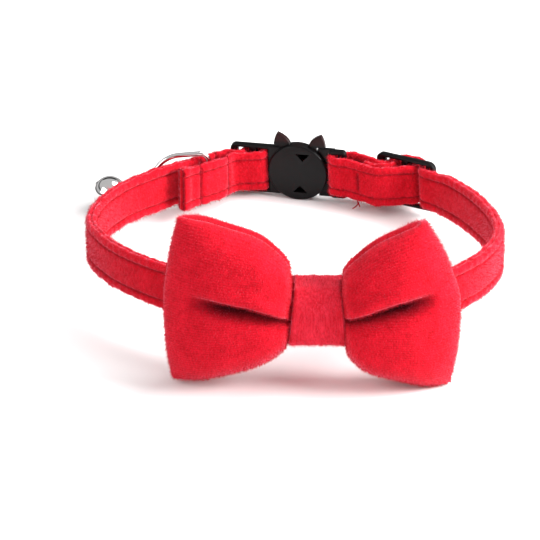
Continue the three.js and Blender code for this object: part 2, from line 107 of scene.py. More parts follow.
world = bpy.data.worlds.new("studio")
bpy.context.scene.world = world
world.use_nodes = True
sky = world.node_tree
way = add(sky, "ShaderNodeTexCoord").outputs["Generated"]
height = add(sky, "ShaderNodeSeparateXYZ", {0: way})
ramp = add(sky, "ShaderNodeValToRGB", {0: height.outputs["Z"]})  # dark bands for the chrome
ramp.color_ramp.elements[0].position = 0.06
ramp.color_ramp.elements[0].color = linear("#1C1A1A")
ramp.color_ramp.elements[1].position = 0.2
ramp.color_ramp.elements[1].color = linear("#FFFFFF")
for spot, code in ((0.36, "#FFFFFF"), (0.4, "#242222"), (0.47, "#242222"), (0.52, "#FFFFFF")):
    ramp.color_ramp.elements.new(spot).color = linear(code)
sky.links.new(ramp.outputs["Color"], sky.nodes["Background"].inputs["Color"])
sky.nodes["Background"].inputs["Strength"].default_value = 0.6

for name, spot, size, watts in (
    ("overhead", (0.21, 0.10, 0.42), 0.25, 1.4),
    ("side", (0.57, -0.12, 0.30), 0.34, 9.0),
    ("fill", (-0.45, -0.32, 0.34), 0.40, 1.5),
):
    lamp = bpy.data.objects.new(name, bpy.data.lights.new(name, "AREA"))
    lamp.data.size = size
    lamp.data.energy = watts
    lamp.location = spot
    lamp.rotation_euler = (Vector(spot) - loop_middle).to_track_quat("Z", "Y").to_euler()
    bpy.context.collection.objects.link(lamp)
bpy.context.scene.view_settings.view_transform = "Standard"

# The strap is velvet folded over webbing and sewn 2 mm from each edge, so its edges puff up
# beside the stitches. It runs in one piece from the flap on the left, round the neck and
# through the hardware, to the flap on the right. Lengths are in millimetres until the mesh.
lying = Matrix.Translation(1000 * loop_middle) @ Matrix.Rotation(math.radians(-6.258), 4, "X")
strap_width, strap_thick = 10.4, 2.4
strap_narrow, strap_pressed = 9.6, 1.4
gap = 0.3
loop_half_width, loop_half_depth = 45.0, 38.4
strap_at_knot = 1.9
disc_radius = 7.0
bar_thick, bar_middle = 1.6, 1.4
middle_bar, end_bar, centre_bar, slider_half = 1.9, 1.8, 2.0, 7.65
nose = 0.3  # how far a bar's edge stands past the middle of the strap's turn
wrap = bar_thick / 2 + gap + strap_pressed / 2
layer = strap_pressed + gap
buckle_lean, slider_lean = 8, 6


def hardware(side, back, turn, lean):
    """A frame of the hardware: x along the strap, y outwards, z across."""
    return (Matrix.Translation((side * loop_half_width, back * loop_half_depth, 0))
            @ Matrix.Rotation(math.radians(turn), 4, "Z")
            @ Matrix.Rotation(math.radians(lean), 4, "X"))


buckle_frame = hardware(-0.0089, 1.0417, -13, buckle_lean)
slider_frame = hardware(0.5489, 0.9089, -33, slider_lean)
turn_at = disc_radius + gap + strap_pressed / 2 + wrap
middle_near = turn_at - nose
fold_at = middle_near + middle_bar - 0.5
end_fold_at = fold_at + 2 * wrap
end_far = end_fold_at - 0.5 + end_bar
centre_turn = centre_bar / 2 - nose
slider_fold = centre_turn + wrap + layer + wrap

left_flap = (  # side and back are shares of the loop's half width and half depth
    (-0.592, 0.778, 2.2), (-0.52, 0.84, 1.8), (-0.433, 0.918, 1.5), (-0.38, 0.985, 1.4),
)
neck_loop = (  # side, back, thickness
    (-0.425, 1.075, 1.4), (-0.487, 1.013, 1.5), (-0.585, 0.915, 1.9), (-0.69, 0.8, 2.4),
    (-0.86, 0.575, 2.4), (-0.975, 0.285, 2.4), (-1.01, -0.03, 2.4), (-0.945, -0.27, 2.4),
    (-0.805, -0.52, 2.4), (-0.6, -0.745, 2.4), (-0.32, -0.935, 2.4),
    (-0.06, -0.992, strap_at_knot), (0.09, -1.0, strap_at_knot), (0.24, -0.992, strap_at_knot),
    (0.51, -0.915, 2.4), (0.735, -0.755, 2.4), (0.885, -0.505, 2.4), (0.965, -0.2, 2.4),
    (0.945, 0.1, 2.4), (0.865, 0.39, 2.4), (0.765, 0.62, 2.2),
)
route = []  # middle, and thickness with the lean's two slopes


def go(place, x, y, thick, lean=0):
    """Adds a row to the route: a point in a frame, the thickness, and the lean in degrees."""
    slope = math.tan(math.radians(lean))
    along = place.to_3x3() @ Vector((1, 0, 0))
    route.append((place @ Vector((x, y, 0)), (thick, slope * along.y, -slope * along.x)))


def arc(place, x, y, radius, start, end, steps, lean):
    """Adds an arc round a bar to the route, with its angles in degrees."""
    for i in range(steps + 1):
        a = math.radians(start + (end - start) * i / steps)
        go(place, x + radius * math.cos(a), y + radius * math.sin(a), strap_pressed, lean)


on_neck = Matrix.Identity(4)
marks = {}  # route rows where stretches of the strap begin
for side, back, thick in left_flap:
    go(on_neck, side * loop_half_width, back * loop_half_depth, thick)
go(buckle_frame, -end_fold_at, bar_middle - wrap - layer, strap_pressed, buckle_lean / 2)
go(buckle_frame, -fold_at - 0.9, bar_middle - wrap - 0.45, strap_pressed, buckle_lean)
arc(buckle_frame, -turn_at, bar_middle, wrap, -90, 90, 6, buckle_lean)
marks["left turn"] = len(route) - 4
arc(buckle_frame, -fold_at, bar_middle, wrap, 90, 180, 3, buckle_lean)
arc(buckle_frame, -end_fold_at, bar_middle, wrap, -22, -90, 3, buckle_lean)
go(buckle_frame, -end_far - 0.4, bar_middle - wrap - 0.1, strap_pressed, buckle_lean / 2)
marks["neck"] = len(route)
for side, back, thick in neck_loop:
    go(on_neck, side * loop_half_width, back * loop_half_depth, thick)
go(slider_frame, slider_half + 1.2, -wrap - 0.3, 1.8, slider_lean)
arc(slider_frame, slider_fold, 0, wrap, -90, -180, 3, slider_lean)
arc(slider_frame, centre_turn, 0, wrap + layer, 22, 90, 3, slider_lean)
arc(slider_frame, -centre_turn, 0, wrap + layer, 90, 158, 3, slider_lean)
arc(slider_frame, -slider_fold, 0, wrap, 0, -90, 3, slider_lean)
go(buckle_frame, middle_near + middle_bar + 1.6, bar_middle + wrap + 0.2, strap_pressed,
   buckle_lean)
go(buckle_frame, turn_at + 0.9, bar_middle + wrap, strap_pressed, buckle_lean)
arc(buckle_frame, turn_at, bar_middle, -wrap, -90, 90, 6, buckle_lean)
marks["right turn"] = len(route) - 4
go(buckle_frame, middle_near + middle_bar, bar_middle - wrap, strap_pressed, buckle_lean)
marks["inner"] = len(route)
go(slider_frame, -slider_fold - 1.6, -wrap - 2 * layer - 0.1, strap_pressed, slider_lean)
go(slider_frame, -slider_fold + 1.4, -wrap - 2 * layer - 0.1, strap_pressed, slider_lean)
go(slider_frame, -centre_turn - 1.7, -wrap - 1.3 * layer, strap_pressed, slider_lean)
arc(slider_frame, centre_turn, 0, wrap, -90, 90, 6, slider_lean)
arc(slider_frame, -centre_turn, 0, wrap, 90, 180, 3, slider_lean)
go(slider_frame, -centre_turn - wrap - 0.5, -wrap, strap_pressed, slider_lean)
go(slider_frame, -slider_fold + 0.2, -wrap - layer, strap_pressed, slider_lean)
go(slider_frame, -slider_fold - 3.0, -wrap - layer, strap_pressed, slider_lean)


def flow(points, parts):
    """A smooth line through points, with so many parts between each two."""
    points = np.array(points)
    p = np.vstack([2 * points[:1] - points[1:2], points, 2 * points[-1:] - points[-2:-1]])
    out = []
    for a, b, c, d in zip(p, p[1:], p[2:], p[3:]):
        ab, bc, cd = (
            max(np.linalg.norm(y - x), 1e-4) ** 0.5 for x, y in ((a, b), (b, c), (c, d)))
        leave = ((b - a) / ab - (c - a) / (ab + bc) + (c - b) / bc) * bc
        reach = ((c - b) / bc - (d - b) / (bc + cd) + (d - c) / cd) * bc
        for t in np.linspace(0, 1, parts, endpoint=False):
            out.append((2 * t**3 - 3 * t**2 + 1) * b + (t**3 - 2 * t**2 + t) * leave
                       + (3 * t**2 - 2 * t**3) * c + (t**3 - t**2) * reach)
    return np.array(out + [points[-1]])


def eased(rows, parts):
    """Rows of values, eased from each to the next in so many parts."""
    rows = np.array(rows)
    t = np.linspace(0, 1, parts, endpoint=False)
    t = (t * t * (3 - 2 * t))[:, None]
    return np.vstack([a * (1 - t) + b * t for a, b in zip(rows, rows[1:])] + [rows[-1:]])


def wander(at, seed, pitch):
    """A smooth random line between -1 and 1, with about one wave in each two pitches."""
    values = np.random.default_rng(seed).uniform(-1, 1, 4096)
    i = np.floor(at / pitch).astype(int)
    t = at / pitch - i
    t = t * t * (3 - 2 * t)
    return values[i % 4096] * (1 - t) + values[(i + 1) % 4096] * t


def mesh_object(name, points, faces, finish, place=lying):
    """A closed mesh from millimetre points in a frame, the collar's own if none is named."""
    mesh = bpy.data.meshes.new(name)
    mesh.from_pydata([0.001 * (place @ Vector(p)) for p in points], [], faces)
    shape = bmesh.new()
    shape.from_mesh(mesh)
    bmesh.ops.recalc_face_normals(shape, faces=shape.faces)
    shape.to_mesh(mesh)
    shape.free()
    mesh.shade_smooth()
    mesh.materials.append(finish)
    made = bpy.data.objects.new(name, mesh)
    bpy.context.collection.objects.link(made)
    return made


def grid_faces(rows, columns, close_rows, close_columns):
    """Quads over a grid of points, closed round either way or not."""
    faces = []
    for i in range(rows if close_rows else rows - 1):
        for j in range(columns if close_columns else columns - 1):
            k = (i + 1) % rows
            m = (j + 1) % columns
            faces.append((i * columns + j, k * columns + j, k * columns + m, i * columns + m))
    return faces


def with_painted_shade(tree, colour):
    """A colour with painted shade: darker in folds, seam grooves and other places where shade
    falls.
    """
    painted_shade = add(tree, "ShaderNodeAttribute", attribute_name="painted_shade").outputs["Fac"]
    return add(tree, "ShaderNodeMix", {0: painted_shade, 6: colour, 7: linear("#26020A")},
               data_type="RGBA").outputs[2]


patches_per_mm, streaks_per_mm, rib_mm = 0.3, 1.5, 0.6  # crushed pile, nap, weave


def velvet(name, deep, glow, ribs_seen):
    """Polyester velvet: matt and deep where the pile is seen end on, pale where it leans."""
    made, tree, shader = surface(
        name, Roughness=0.95, Specular_IOR_Level=0.05, Sheen_Weight=1.0, Sheen_Roughness=0.36,
        Sheen_Tint=linear("#FF9CB4"))
    cloth = add(tree, "ShaderNodeUVMap", uv_map="cloth").outputs["UV"]
    lay = add(tree, "ShaderNodeMapping", {"Vector": cloth, "Scale": (1.7, 0.6, 1)})
    crushed = add(tree, "ShaderNodeTexNoise", {
        "Vector": cloth, "Scale": patches_per_mm, "Detail": 3.0, "Roughness": 0.6})
    nap = add(tree, "ShaderNodeTexNoise", {
        "Vector": lay.outputs[0], "Scale": streaks_per_mm, "Detail": 4.0, "Roughness": 0.65})
    ribs = add(tree, "ShaderNodeTexWave", {
        "Vector": cloth, "Scale": 0.314 / rib_mm, "Distortion": 2.5, "Detail": 2.0,
        "Detail Scale": 1.2}, bands_direction="Y")
    tone = add(tree, "ShaderNodeMath", {0: nap.outputs["Fac"], 1: 0.65}, operation="MULTIPLY")
    tone = add(tree, "ShaderNodeMath", {
        0: crushed.outputs["Fac"], 1: 0.35, 2: tone.outputs[0]}, operation="MULTIPLY_ADD")
    tone = add(tree, "ShaderNodeMath", {
        0: ribs.outputs["Fac"], 1: ribs_seen, 2: tone.outputs[0]}, operation="MULTIPLY_ADD")
    colours = add(tree, "ShaderNodeValToRGB", {0: tone.outputs[0]})
    colours.color_ramp.elements[0].position = 0.34
    colours.color_ramp.elements[0].color = linear(deep)
    colours.color_ramp.elements[1].position = 0.66
    colours.color_ramp.elements[1].color = linear(glow)
    tree.links.new(with_painted_shade(tree, colours.outputs["Color"]), shader.inputs["Base Color"])
    relief = add(tree, "ShaderNodeBump", {
        "Height": tone.outputs[0], "Strength": 0.6, "Distance": 0.0004})
    tree.links.new(relief.outputs["Normal"], shader.inputs["Normal"])
    return made


strap_velvet = velvet("strap_velvet", "#AC0814", "#DA182C", 0.0)

step = 0.45  # between the mesh's rows
dense = flow([tuple(middle) for middle, size in route], 12)
sizes = eased([size for middle, size in route], 12)
run = np.concatenate([[0], np.cumsum(np.linalg.norm(np.diff(dense, axis=0), axis=1))])
strap_length = run[-1]
along = np.linspace(0, strap_length, int(strap_length / step))
strap_middle = np.stack([np.interp(along, run, dense[:, k]) for k in range(3)], 1)
thick, lean_u, lean_v = (np.interp(along, run, sizes[:, k]) for k in range(3))
tangent = np.gradient(strap_middle, axis=0)
tangent /= np.linalg.norm(tangent, axis=1)[:, None]
outward = np.stack([tangent[:, 1], -tangent[:, 0], 0 * along], 1)
across = np.stack([lean_u, lean_v, 1 + 0 * along], 1)
pressed = (strap_thick - thick) / (strap_thick - strap_pressed)
half_width = (strap_width + (strap_narrow - strap_width) * pressed) / 2
pile_inset = 0.12  # the pile stands this far out of the cloth

strap_profile = (  # share of the half width, share of the half thickness
    (0.955, 0.0), (0.985, 0.16), (1.0, 0.38), (0.985, 0.64), (0.94, 0.85), (0.87, 0.98),
    (0.78, 1.0), (0.7, 0.92), (0.655, 0.78), (0.62, 0.6), (0.585, 0.78), (0.53, 0.9),
    (0.4, 0.95), (0.2, 0.97), (0.0, 0.97),
)
half_face = list(strap_profile) + [(-w, d) for w, d in strap_profile[-2:0:-1]]
strap_section = np.array(half_face + [(-w, -d) for w, d in half_face])
seam_at = 0.62
seam_pitch = 2.3  # one stitch


def strap_at(stretch, u):
    """How far along the strap it passes u millimetres across, in one stretch of its route."""
    first, last = (run[12 * k] for k in stretch)
    rows = np.flatnonzero((along >= first) & (along <= last))
    return along[rows[np.argmin(np.abs(strap_middle[rows, 0] - u))]]


# Seams across the strap: two through the flap and the layer behind it, which hold the
# D-ring between them, and a bar tack that holds the strap's inner layer.
flap, behind = (0, 5), (marks["neck"], marks["neck"] + 4)
inner = (marks["inner"] - 1, marks["inner"] + 1)
cross_seams = [(strap_at(flap, u), 1.0) for u in (-22.6, -16.6)]
cross_seams += [(strap_at(behind, u), 1.0) for u in (-22.6, -16.6)]
cross_seams += [(strap_at(inner, 13.5), 0.5)]


def strap_skin(rows, wide, deep):
    """Points of the strap: rows along it, and shares of its half width and half thickness."""
    i = np.asarray(rows)[:, None]
    wide, deep = np.asarray(wide)[None], np.asarray(deep)[None]
    at = along[i]
    edge = 0.2 * wander(at + 90 * (wide > 0), 11, 1.3) + 0.1 * wander(at + 50 * wide, 12, 0.5)
    w = wide * (half_width[i] - pile_inset * (1 - pressed[i]))
    w = w + edge * np.abs(wide) ** 3 * np.sign(wide)
    pucker = 0.06 * np.cos(2 * math.pi * at / seam_pitch) * (np.abs(wide) > 0.5)
    lump = 0.08 * wander(at + 40 * wide, 13, 2.7)
    half = thick[i] / 2 - pile_inset / 2 + lump + pucker
    for spot, reach in cross_seams:
        inside = np.clip((reach - np.abs(wide)) / 0.12 + 1, 0, 1)
        half = half * (1 - 0.5 * inside * np.exp(-((at - spot) / 0.45) ** 2))
        half = half * (1 + 0.1 * inside * np.exp(-((np.abs(at - spot) - 1.4) / 0.8) ** 2))
    half = half + 0.9 * np.exp(-(at / 1.9) ** 4) * (deep > 0)  # the flap's end is folded under
    for turn in ("left turn", "right turn"):  # the folded pile fills the slot beside the disc
        near = np.exp(-((at - run[12 * marks[turn]]) / 1.3) ** 2)
        half = half + 0.42 * near * (deep > 0)
        w = w + 0.4 * near * np.sign(wide) * np.abs(wide) ** 3
    return (strap_middle[i] + across[i] * w[..., None]
            + outward[i] * (deep * half)[..., None])


rows = range(len(along))
skin_wide, skin_deep = strap_section.T
rings = list(strap_skin(rows, skin_wide, skin_deep))
for shrink, proud in ((0.85, 0.3), (0.55, 0.0), (0.3, 0.3), (0.04, 0.36)):  # left flap's end
    folds = strap_skin([0], skin_wide, shrink * skin_deep)[0] - proud * tangent[0]
    rings.insert(0, folds)
ring = len(strap_section)
points = np.concatenate(rings)
faces = grid_faces(len(rings), ring, False, True)
faces.append(tuple(range(ring)))
faces.append(tuple(range(len(points) - 1, len(points) - 1 - ring, -1)))
strap = mesh_object("velvet_strap", points, faces, strap_velvet)


def lay_cloth(piece, map_u, map_v, lay, pile, painted_shade):
    """A cloth piece's UV map in millimetres, the lean and density of its pile, and the painted
    shade of its folds and seams.
    """
    uv = piece.data.uv_layers.new(name="cloth")
    spots = np.array([(map_u[v.vertex_index], map_v[v.vertex_index]) for v in piece.data.loops])
    uv.data.foreach_set("uv", spots.ravel())
    way = piece.data.attributes.new("lay", "FLOAT_VECTOR", "POINT")
    turned = np.array([lying.to_3x3() @ Vector(p) for p in lay])
    way.data.foreach_set("vector", turned.ravel())
    for label, values in (("pile", pile), ("painted_shade", painted_shade)):
        amount = piece.data.attributes.new(label, "FLOAT", "POINT")
        amount.data.foreach_set("value", np.array(values, dtype=np.float32))


around = np.concatenate([[0], np.cumsum(np.hypot(
    *(np.diff(strap_section, axis=0) * (strap_width / 2, strap_thick / 2)).T))])
fold_rows = len(rings) - len(along)
down = np.vstack([tangent[:1]] * fold_rows + [tangent]) * 0.3 - (0, 0, 0.7)
to_edge = np.abs(skin_wide)[None]
# Painted shade: the colour is darkened along the stitch grooves, across the cross seams and on
# the flap's folded end.
strap_painted_shade = 0.32 * np.exp(-((to_edge - seam_at) / 0.06) ** 2) + 0 * along[:, None]
for spot, reach in cross_seams:
    strap_painted_shade += 0.6 * np.exp(-((along[:, None] - spot) / 0.4) ** 2) * (to_edge < reach)
end_painted_shade = np.repeat([[0.0], [0.2], [0.8], [0.2]], ring, axis=1)
lay_cloth(strap, np.repeat(np.concatenate([-0.4 * np.arange(fold_rows, 0, -1), along]), ring),
          np.tile(around, len(rings)), np.repeat(down, ring, axis=0), np.ones(len(points)),
          np.clip(np.vstack([end_painted_shade, strap_painted_shade]), 0, 1).ravel())

# The pile is short polyester fibre, combed one way by the strap's making. Each blade here
# stands for a tuft, because a real fibre is too fine to show.
tuft_high, tuft_wide = 0.65, 0.1


def tuft_tree():
    """A tree that plants tufts on a mesh, leaning the way its "lay" attribute says."""
    tree = bpy.data.node_groups.new("pile", "GeometryNodeTree")
    sockets = (("Geometry", "Geometry"), ("Tuft", "Object"), ("Tufts per mm2", "Float"),
               ("Lean", "Float"), ("Scatter", "Float"), ("Seed", "Int"), ("Finish", "Material"))
    for label, kind in sockets:
        tree.interface.new_socket(label, in_out="INPUT", socket_type="NodeSocket" + kind)
    tree.interface.new_socket("Geometry", in_out="OUTPUT", socket_type="NodeSocketGeometry")
    given = add(tree, "NodeGroupInput").outputs
    pile = add(tree, "GeometryNodeInputNamedAttribute", {"Name": "pile"}, data_type="FLOAT")
    per_m2 = add(tree, "ShaderNodeMath", {
        0: given["Tufts per mm2"], 1: 1e6}, operation="MULTIPLY")
    dense = add(tree, "ShaderNodeMath", {0: per_m2.outputs[0], 1: pile.outputs["Attribute"]},
                operation="MULTIPLY")
    spots = add(tree, "GeometryNodeDistributePointsOnFaces", {
        "Mesh": given["Geometry"], "Density": dense.outputs[0], "Seed": given["Seed"]},
        distribute_method="RANDOM")
    lay = add(tree, "GeometryNodeInputNamedAttribute", {"Name": "lay"}, data_type="FLOAT_VECTOR")
    lean = add(tree, "ShaderNodeVectorMath", {
        0: lay.outputs["Attribute"], "Scale": given["Lean"]}, operation="SCALE")
    loose = add(tree, "FunctionNodeRandomValue", {
        "Min": (-1, -1, -1), "Max": (1, 1, 1), "Seed": given["Seed"]}, data_type="FLOAT_VECTOR")
    loose = add(tree, "ShaderNodeVectorMath", {
        0: loose.outputs["Value"], "Scale": given["Scatter"]}, operation="SCALE")
    way = add(tree, "ShaderNodeVectorMath", {0: spots.outputs["Normal"], 1: lean.outputs[0]})
    way = add(tree, "ShaderNodeVectorMath", {0: way.outputs[0], 1: loose.outputs[0]})
    stand = add(tree, "FunctionNodeAlignRotationToVector", {"Vector": way.outputs[0]}, axis="Z")
    spin = add(tree, "FunctionNodeRandomValue", {
        "Min": 0.0, "Max": 2 * math.pi, "Seed": given["Seed"]}, data_type="FLOAT")
    spin = add(tree, "FunctionNodeAxisAngleToRotation", {
        "Axis": (0, 0, 1), "Angle": spin.outputs[1]})
    turn = add(tree, "FunctionNodeRotateRotation", {
        "Rotation": stand.outputs[0], "Rotate By": spin.outputs[0]}, rotation_space="LOCAL")
    size = add(tree, "FunctionNodeRandomValue", {
        "Min": (0.6, 0.6, 0.55), "Max": (1.2, 1.2, 1.2), "Seed": given["Seed"]},
        data_type="FLOAT_VECTOR")
    tufts = add(tree, "GeometryNodeInstanceOnPoints", {
        "Points": spots.outputs["Points"], "Rotation": turn.outputs[0],
        "Instance": add(tree, "GeometryNodeObjectInfo", {
            "Object": given["Tuft"]}).outputs["Geometry"],
        "Scale": size.outputs["Value"]})
    shade = add(tree, "FunctionNodeRandomValue", {
        "Min": 0.0, "Max": 1.0, "Seed": 7}, data_type="FLOAT")
    shaded = add(tree, "GeometryNodeStoreNamedAttribute", {
        "Geometry": tufts.outputs[0], "Name": "tone", "Value": shade.outputs[1]},
        data_type="FLOAT", domain="INSTANCE")
    real = add(tree, "GeometryNodeRealizeInstances", {0: shaded.outputs[0]})
    done = add(tree, "GeometryNodeSetMaterial", {
        "Geometry": real.outputs[0], "Material": given["Finish"]})
    add(tree, "NodeGroupOutput", {0: done.outputs[0]})
    return tree


def from_nodes(name, carrier, tree, body, **inputs):
    """Runs a tree on a carrier, and gives the result as a plain mesh that rides on a body."""
    modifier = carrier.modifiers.new("nodes", "NODES")
    modifier.node_group = tree
    for item in tree.interface.items_tree:
        if item.in_out == "INPUT" and item.name in inputs:
            modifier[item.identifier] = inputs[item.name]
    carrier.update_tag()
    bpy.context.view_layer.update()
    graph = bpy.context.evaluated_depsgraph_get()
    mesh = bpy.data.meshes.new_from_object(
        carrier.evaluated_get(graph), preserve_all_data_layers=True, depsgraph=graph)
    carrier.modifiers.remove(modifier)
    made = bpy.data.objects.new(name, mesh)
    bpy.context.collection.objects.link(made)
    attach(made, body)
    return made


blade = bpy.data.meshes.new("tuft")
blade.from_pydata([(-tuft_wide / 2000, 0, 0), (tuft_wide / 2000, 0, 0), (0, 0, tuft_high / 1000)],
                  [], [(0, 1, 2)])
tuft = bpy.data.objects.new("tuft", blade)


pile_patches_per_m = 420.0


def pile_finish(name, deep, glow):
    """Velvet pile: each tuft a little lighter or darker than the next."""
    made, tree, shader = surface(
        name, Roughness=0.8, Specular_IOR_Level=0.15, Sheen_Weight=0.9, Sheen_Roughness=0.4,
        Sheen_Tint=linear("#FF8AA2"))
    tone = add(tree, "ShaderNodeAttribute", attribute_name="tone").outputs["Fac"]
    spot = add(tree, "ShaderNodeTexCoord").outputs["Object"]
    crushed = add(tree, "ShaderNodeTexNoise", {
        "Vector": spot, "Scale": pile_patches_per_m, "Detail": 3.0})
    tone = add(tree, "ShaderNodeMath", {0: tone, 1: 0.45}, operation="MULTIPLY")
    tone = add(tree, "ShaderNodeMath", {
        0: crushed.outputs["Fac"], 1: 1.5, 2: tone.outputs[0]}, operation="MULTIPLY_ADD")
    tone = add(tree, "ShaderNodeMath", {0: tone.outputs[0], 1: 0.45}, operation="SUBTRACT")
    colours = add(tree, "ShaderNodeValToRGB", {0: tone.outputs[0]})
    colours.color_ramp.elements[0].color = linear(deep)
    colours.color_ramp.elements[1].color = linear(glow)
    tree.links.new(with_painted_shade(tree, colours.outputs["Color"]), shader.inputs["Base Color"])
    return made


pile = tuft_tree()
strap_pile_finish = pile_finish("strap_pile", "#A80816", "#E0283C")
tufts_per_mm2 = 8.0
strap_pile = from_nodes(
    "strap_pile", strap, pile, "collar", **{
        "Tuft": tuft, "Tufts per mm2": tufts_per_mm2, "Lean": 0.8, "Scatter": 0.45, "Seed": 1,
        "Finish": strap_pile_finish})
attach(strap, "collar")
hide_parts("collar_strap")

# The stitches are red polyester thread, sewn along the strap 2 mm from each edge. Each one
# dips into the velvet at its ends, and shows on both faces.
thread_thick = 0.26
thread = surface(  # polyester thread: dull, and a little darker than the pile
    "polyester_thread", Base_Color=linear("#960A18"), Roughness=0.8, Specular_IOR_Level=0.2)[0]


def stitch_tree():
    """A tree that sets a stitch at each pitch along a mesh's edges."""
    tree = bpy.data.node_groups.new("stitches", "GeometryNodeTree")
    sockets = (("Geometry", "Geometry"), ("Stitch", "Object"), ("Pitch", "Float"),
               ("Finish", "Material"))
    for label, kind in sockets:
        tree.interface.new_socket(label, in_out="INPUT", socket_type="NodeSocket" + kind)
    tree.interface.new_socket("Geometry", in_out="OUTPUT", socket_type="NodeSocketGeometry")
    given = add(tree, "NodeGroupInput").outputs
    line = add(tree, "GeometryNodeMeshToCurve", {0: given["Geometry"]})
    even = add(tree, "GeometryNodeResampleCurve", {
        "Curve": line.outputs[0], "Length": given["Pitch"]}, mode="LENGTH")
    tangent = add(tree, "GeometryNodeInputTangent")
    turn = add(tree, "FunctionNodeAlignRotationToVector", {
        "Vector": tangent.outputs[0]}, axis="X")
    stitches = add(tree, "GeometryNodeInstanceOnPoints", {
        "Points": even.outputs[0], "Rotation": turn.outputs[0],
        "Instance": add(tree, "GeometryNodeObjectInfo", {
            "Object": given["Stitch"]}).outputs["Geometry"]})
    real = add(tree, "GeometryNodeRealizeInstances", {0: stitches.outputs[0]})
    done = add(tree, "GeometryNodeSetMaterial", {
        "Geometry": real.outputs[0], "Material": given["Finish"]})
    add(tree, "NodeGroupOutput", {0: done.outputs[0]})
    return tree


grains = bmesh.new()
bmesh.ops.create_uvsphere(grains, u_segments=8, v_segments=6, radius=0.0005)
for vert in grains.verts:
    vert.co = (vert.co.z * seam_pitch * 0.82, vert.co.x * thread_thick, vert.co.y * thread_thick)
bmesh.ops.recalc_face_normals(grains, faces=grains.faces)
grain = bpy.data.meshes.new("stitch")
grains.to_mesh(grain)
grain.shade_smooth()
stitch = bpy.data.objects.new("stitch", grain)
sew = stitch_tree()
lines, edges = [], []
ring_bar = (-20.7, 37.075)


def sewn(points):
    """A row of stitches, left out where the D-ring's bar turns between the layers."""
    first = len(lines)
    lines.extend(points)
    edges.extend((k, k + 1) for k in range(first, len(lines) - 1)
                 if math.dist(lines[k][:2], ring_bar) > 2.2)


def tube(path, radius, across, closed, sides=12):
    """Points and faces of a round wire on a path, across being about square to its plane."""
    path, across = np.array(path), np.array(across)
    if closed:
        along_path = np.roll(path, -1, axis=0) - np.roll(path, 1, axis=0)
    else:
        along_path = np.gradient(path, axis=0)
    along_path /= np.linalg.norm(along_path, axis=1)[:, None]
    sideways = np.cross(along_path, across)
    sideways /= np.linalg.norm(sideways, axis=1)[:, None]
    turned = 2 * math.pi * np.arange(sides) / sides
    points = (path[:, None] + radius * np.cos(turned)[None, :, None] * sideways[:, None]
              + radius * np.sin(turned)[None, :, None] * across).reshape(-1, 3)
    faces = grid_faces(len(path), sides, closed, True)
    if not closed:
        faces.append(tuple(range(sides)))
        faces.append(tuple(range(len(points) - 1, len(points) - 1 - sides, -1)))
    return points, faces


# Two cut ends of thread hang from the strap's lower edge at its last cross seam.
tack = strap_skin([int(np.argmin(np.abs(along - cross_seams[-1][0])))], [-0.96], [0.0])[0, 0]
for k, ends in enumerate((
    ((0, 0, 0.5), (-0.2, -0.3, -0.7), (-0.8, -0.7, -1.4), (-1.6, -1.1, -1.8)),
    ((-0.5, 0, 0.5), (-0.45, -0.3, -0.5), (-0.1, -0.6, -1.0), (0.1, -0.9, -1.5)),
)):
    tail = mesh_object("thread_end_%d" % k, *tube(
        flow([tack + p for p in ends], 5), thread_thick / 2, (0.0, 0.8, -0.6), False, 6), thread)
    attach(tail, "collar")

for deep in (0.68, -0.68):
    for wide in (seam_at, -seam_at):
        sewn(strap_skin(range(5, len(along) - 5), [wide], [deep])[:, 0])
    for spot, reach in cross_seams:
        row = int(np.argmin(np.abs(along - spot)))
        sewn(strap_skin([row], np.linspace(-reach, reach, 9) * 0.9, [1.25 * deep] * 9)[0])
path = bpy.data.meshes.new("seams")
path.from_pydata([0.001 * (lying @ Vector(p)) for p in lines], edges, [])
seams = bpy.data.objects.new("seams", path)
bpy.context.collection.objects.link(seams)
strap_stitches = from_nodes("strap_stitches", seams, sew, "collar", **{
    "Stitch": stitch, "Pitch": seam_pitch / 1000, "Finish": thread})
bpy.data.objects.remove(seams)

# The bow is one padded velvet band, sewn into a ring, laid flat and gathered in the middle.
# Each lobe has a crease that runs out from the knot, and its upper and lower edges are sewn
# seams, rounded by the wadding.
bow_across, lobe_reach, bow_half_height, bow_rise = 3.9, 32.4, 18.5, 3.5
bow_wall, bow_pinch, lobe_puff, crease_depth = 2.2, 6.0, 9.0, 6.2
knot_width, knot_wall = 12.0, 1.2
lobe_sections = np.array([  # out, height, left lift, right lift, front, back
    (0.0, 0.2, 0.0, 0.0, 0.333, 0.333), (0.186, 0.22, 0.0, 0.0, 0.333, 0.333),
    (0.202, 0.46, 0.5, 0.08, 0.64, 0.32), (0.38, 0.76, 0.96, 0.38, 0.96, 0.33),
    (0.6, 0.89, 0.98, 0.56, 0.98, 0.36), (0.8, 0.97, 1.0, 0.6, 0.88, 0.5),
    (1.0, 1.0, 1.0, 0.7, 0.68, 0.6),
])
lobe_edges = np.array([  # height, left reach, right reach
    (-1.0, 0.95, 0.865), (-0.5, 0.99, 0.915), (0.0, 1.0, 0.93), (0.5, 0.965, 0.85),
    (1.0, 0.9, 0.7),
])
pinch_middle = -loop_half_depth - strap_at_knot / 2 - gap - bow_pinch / 2


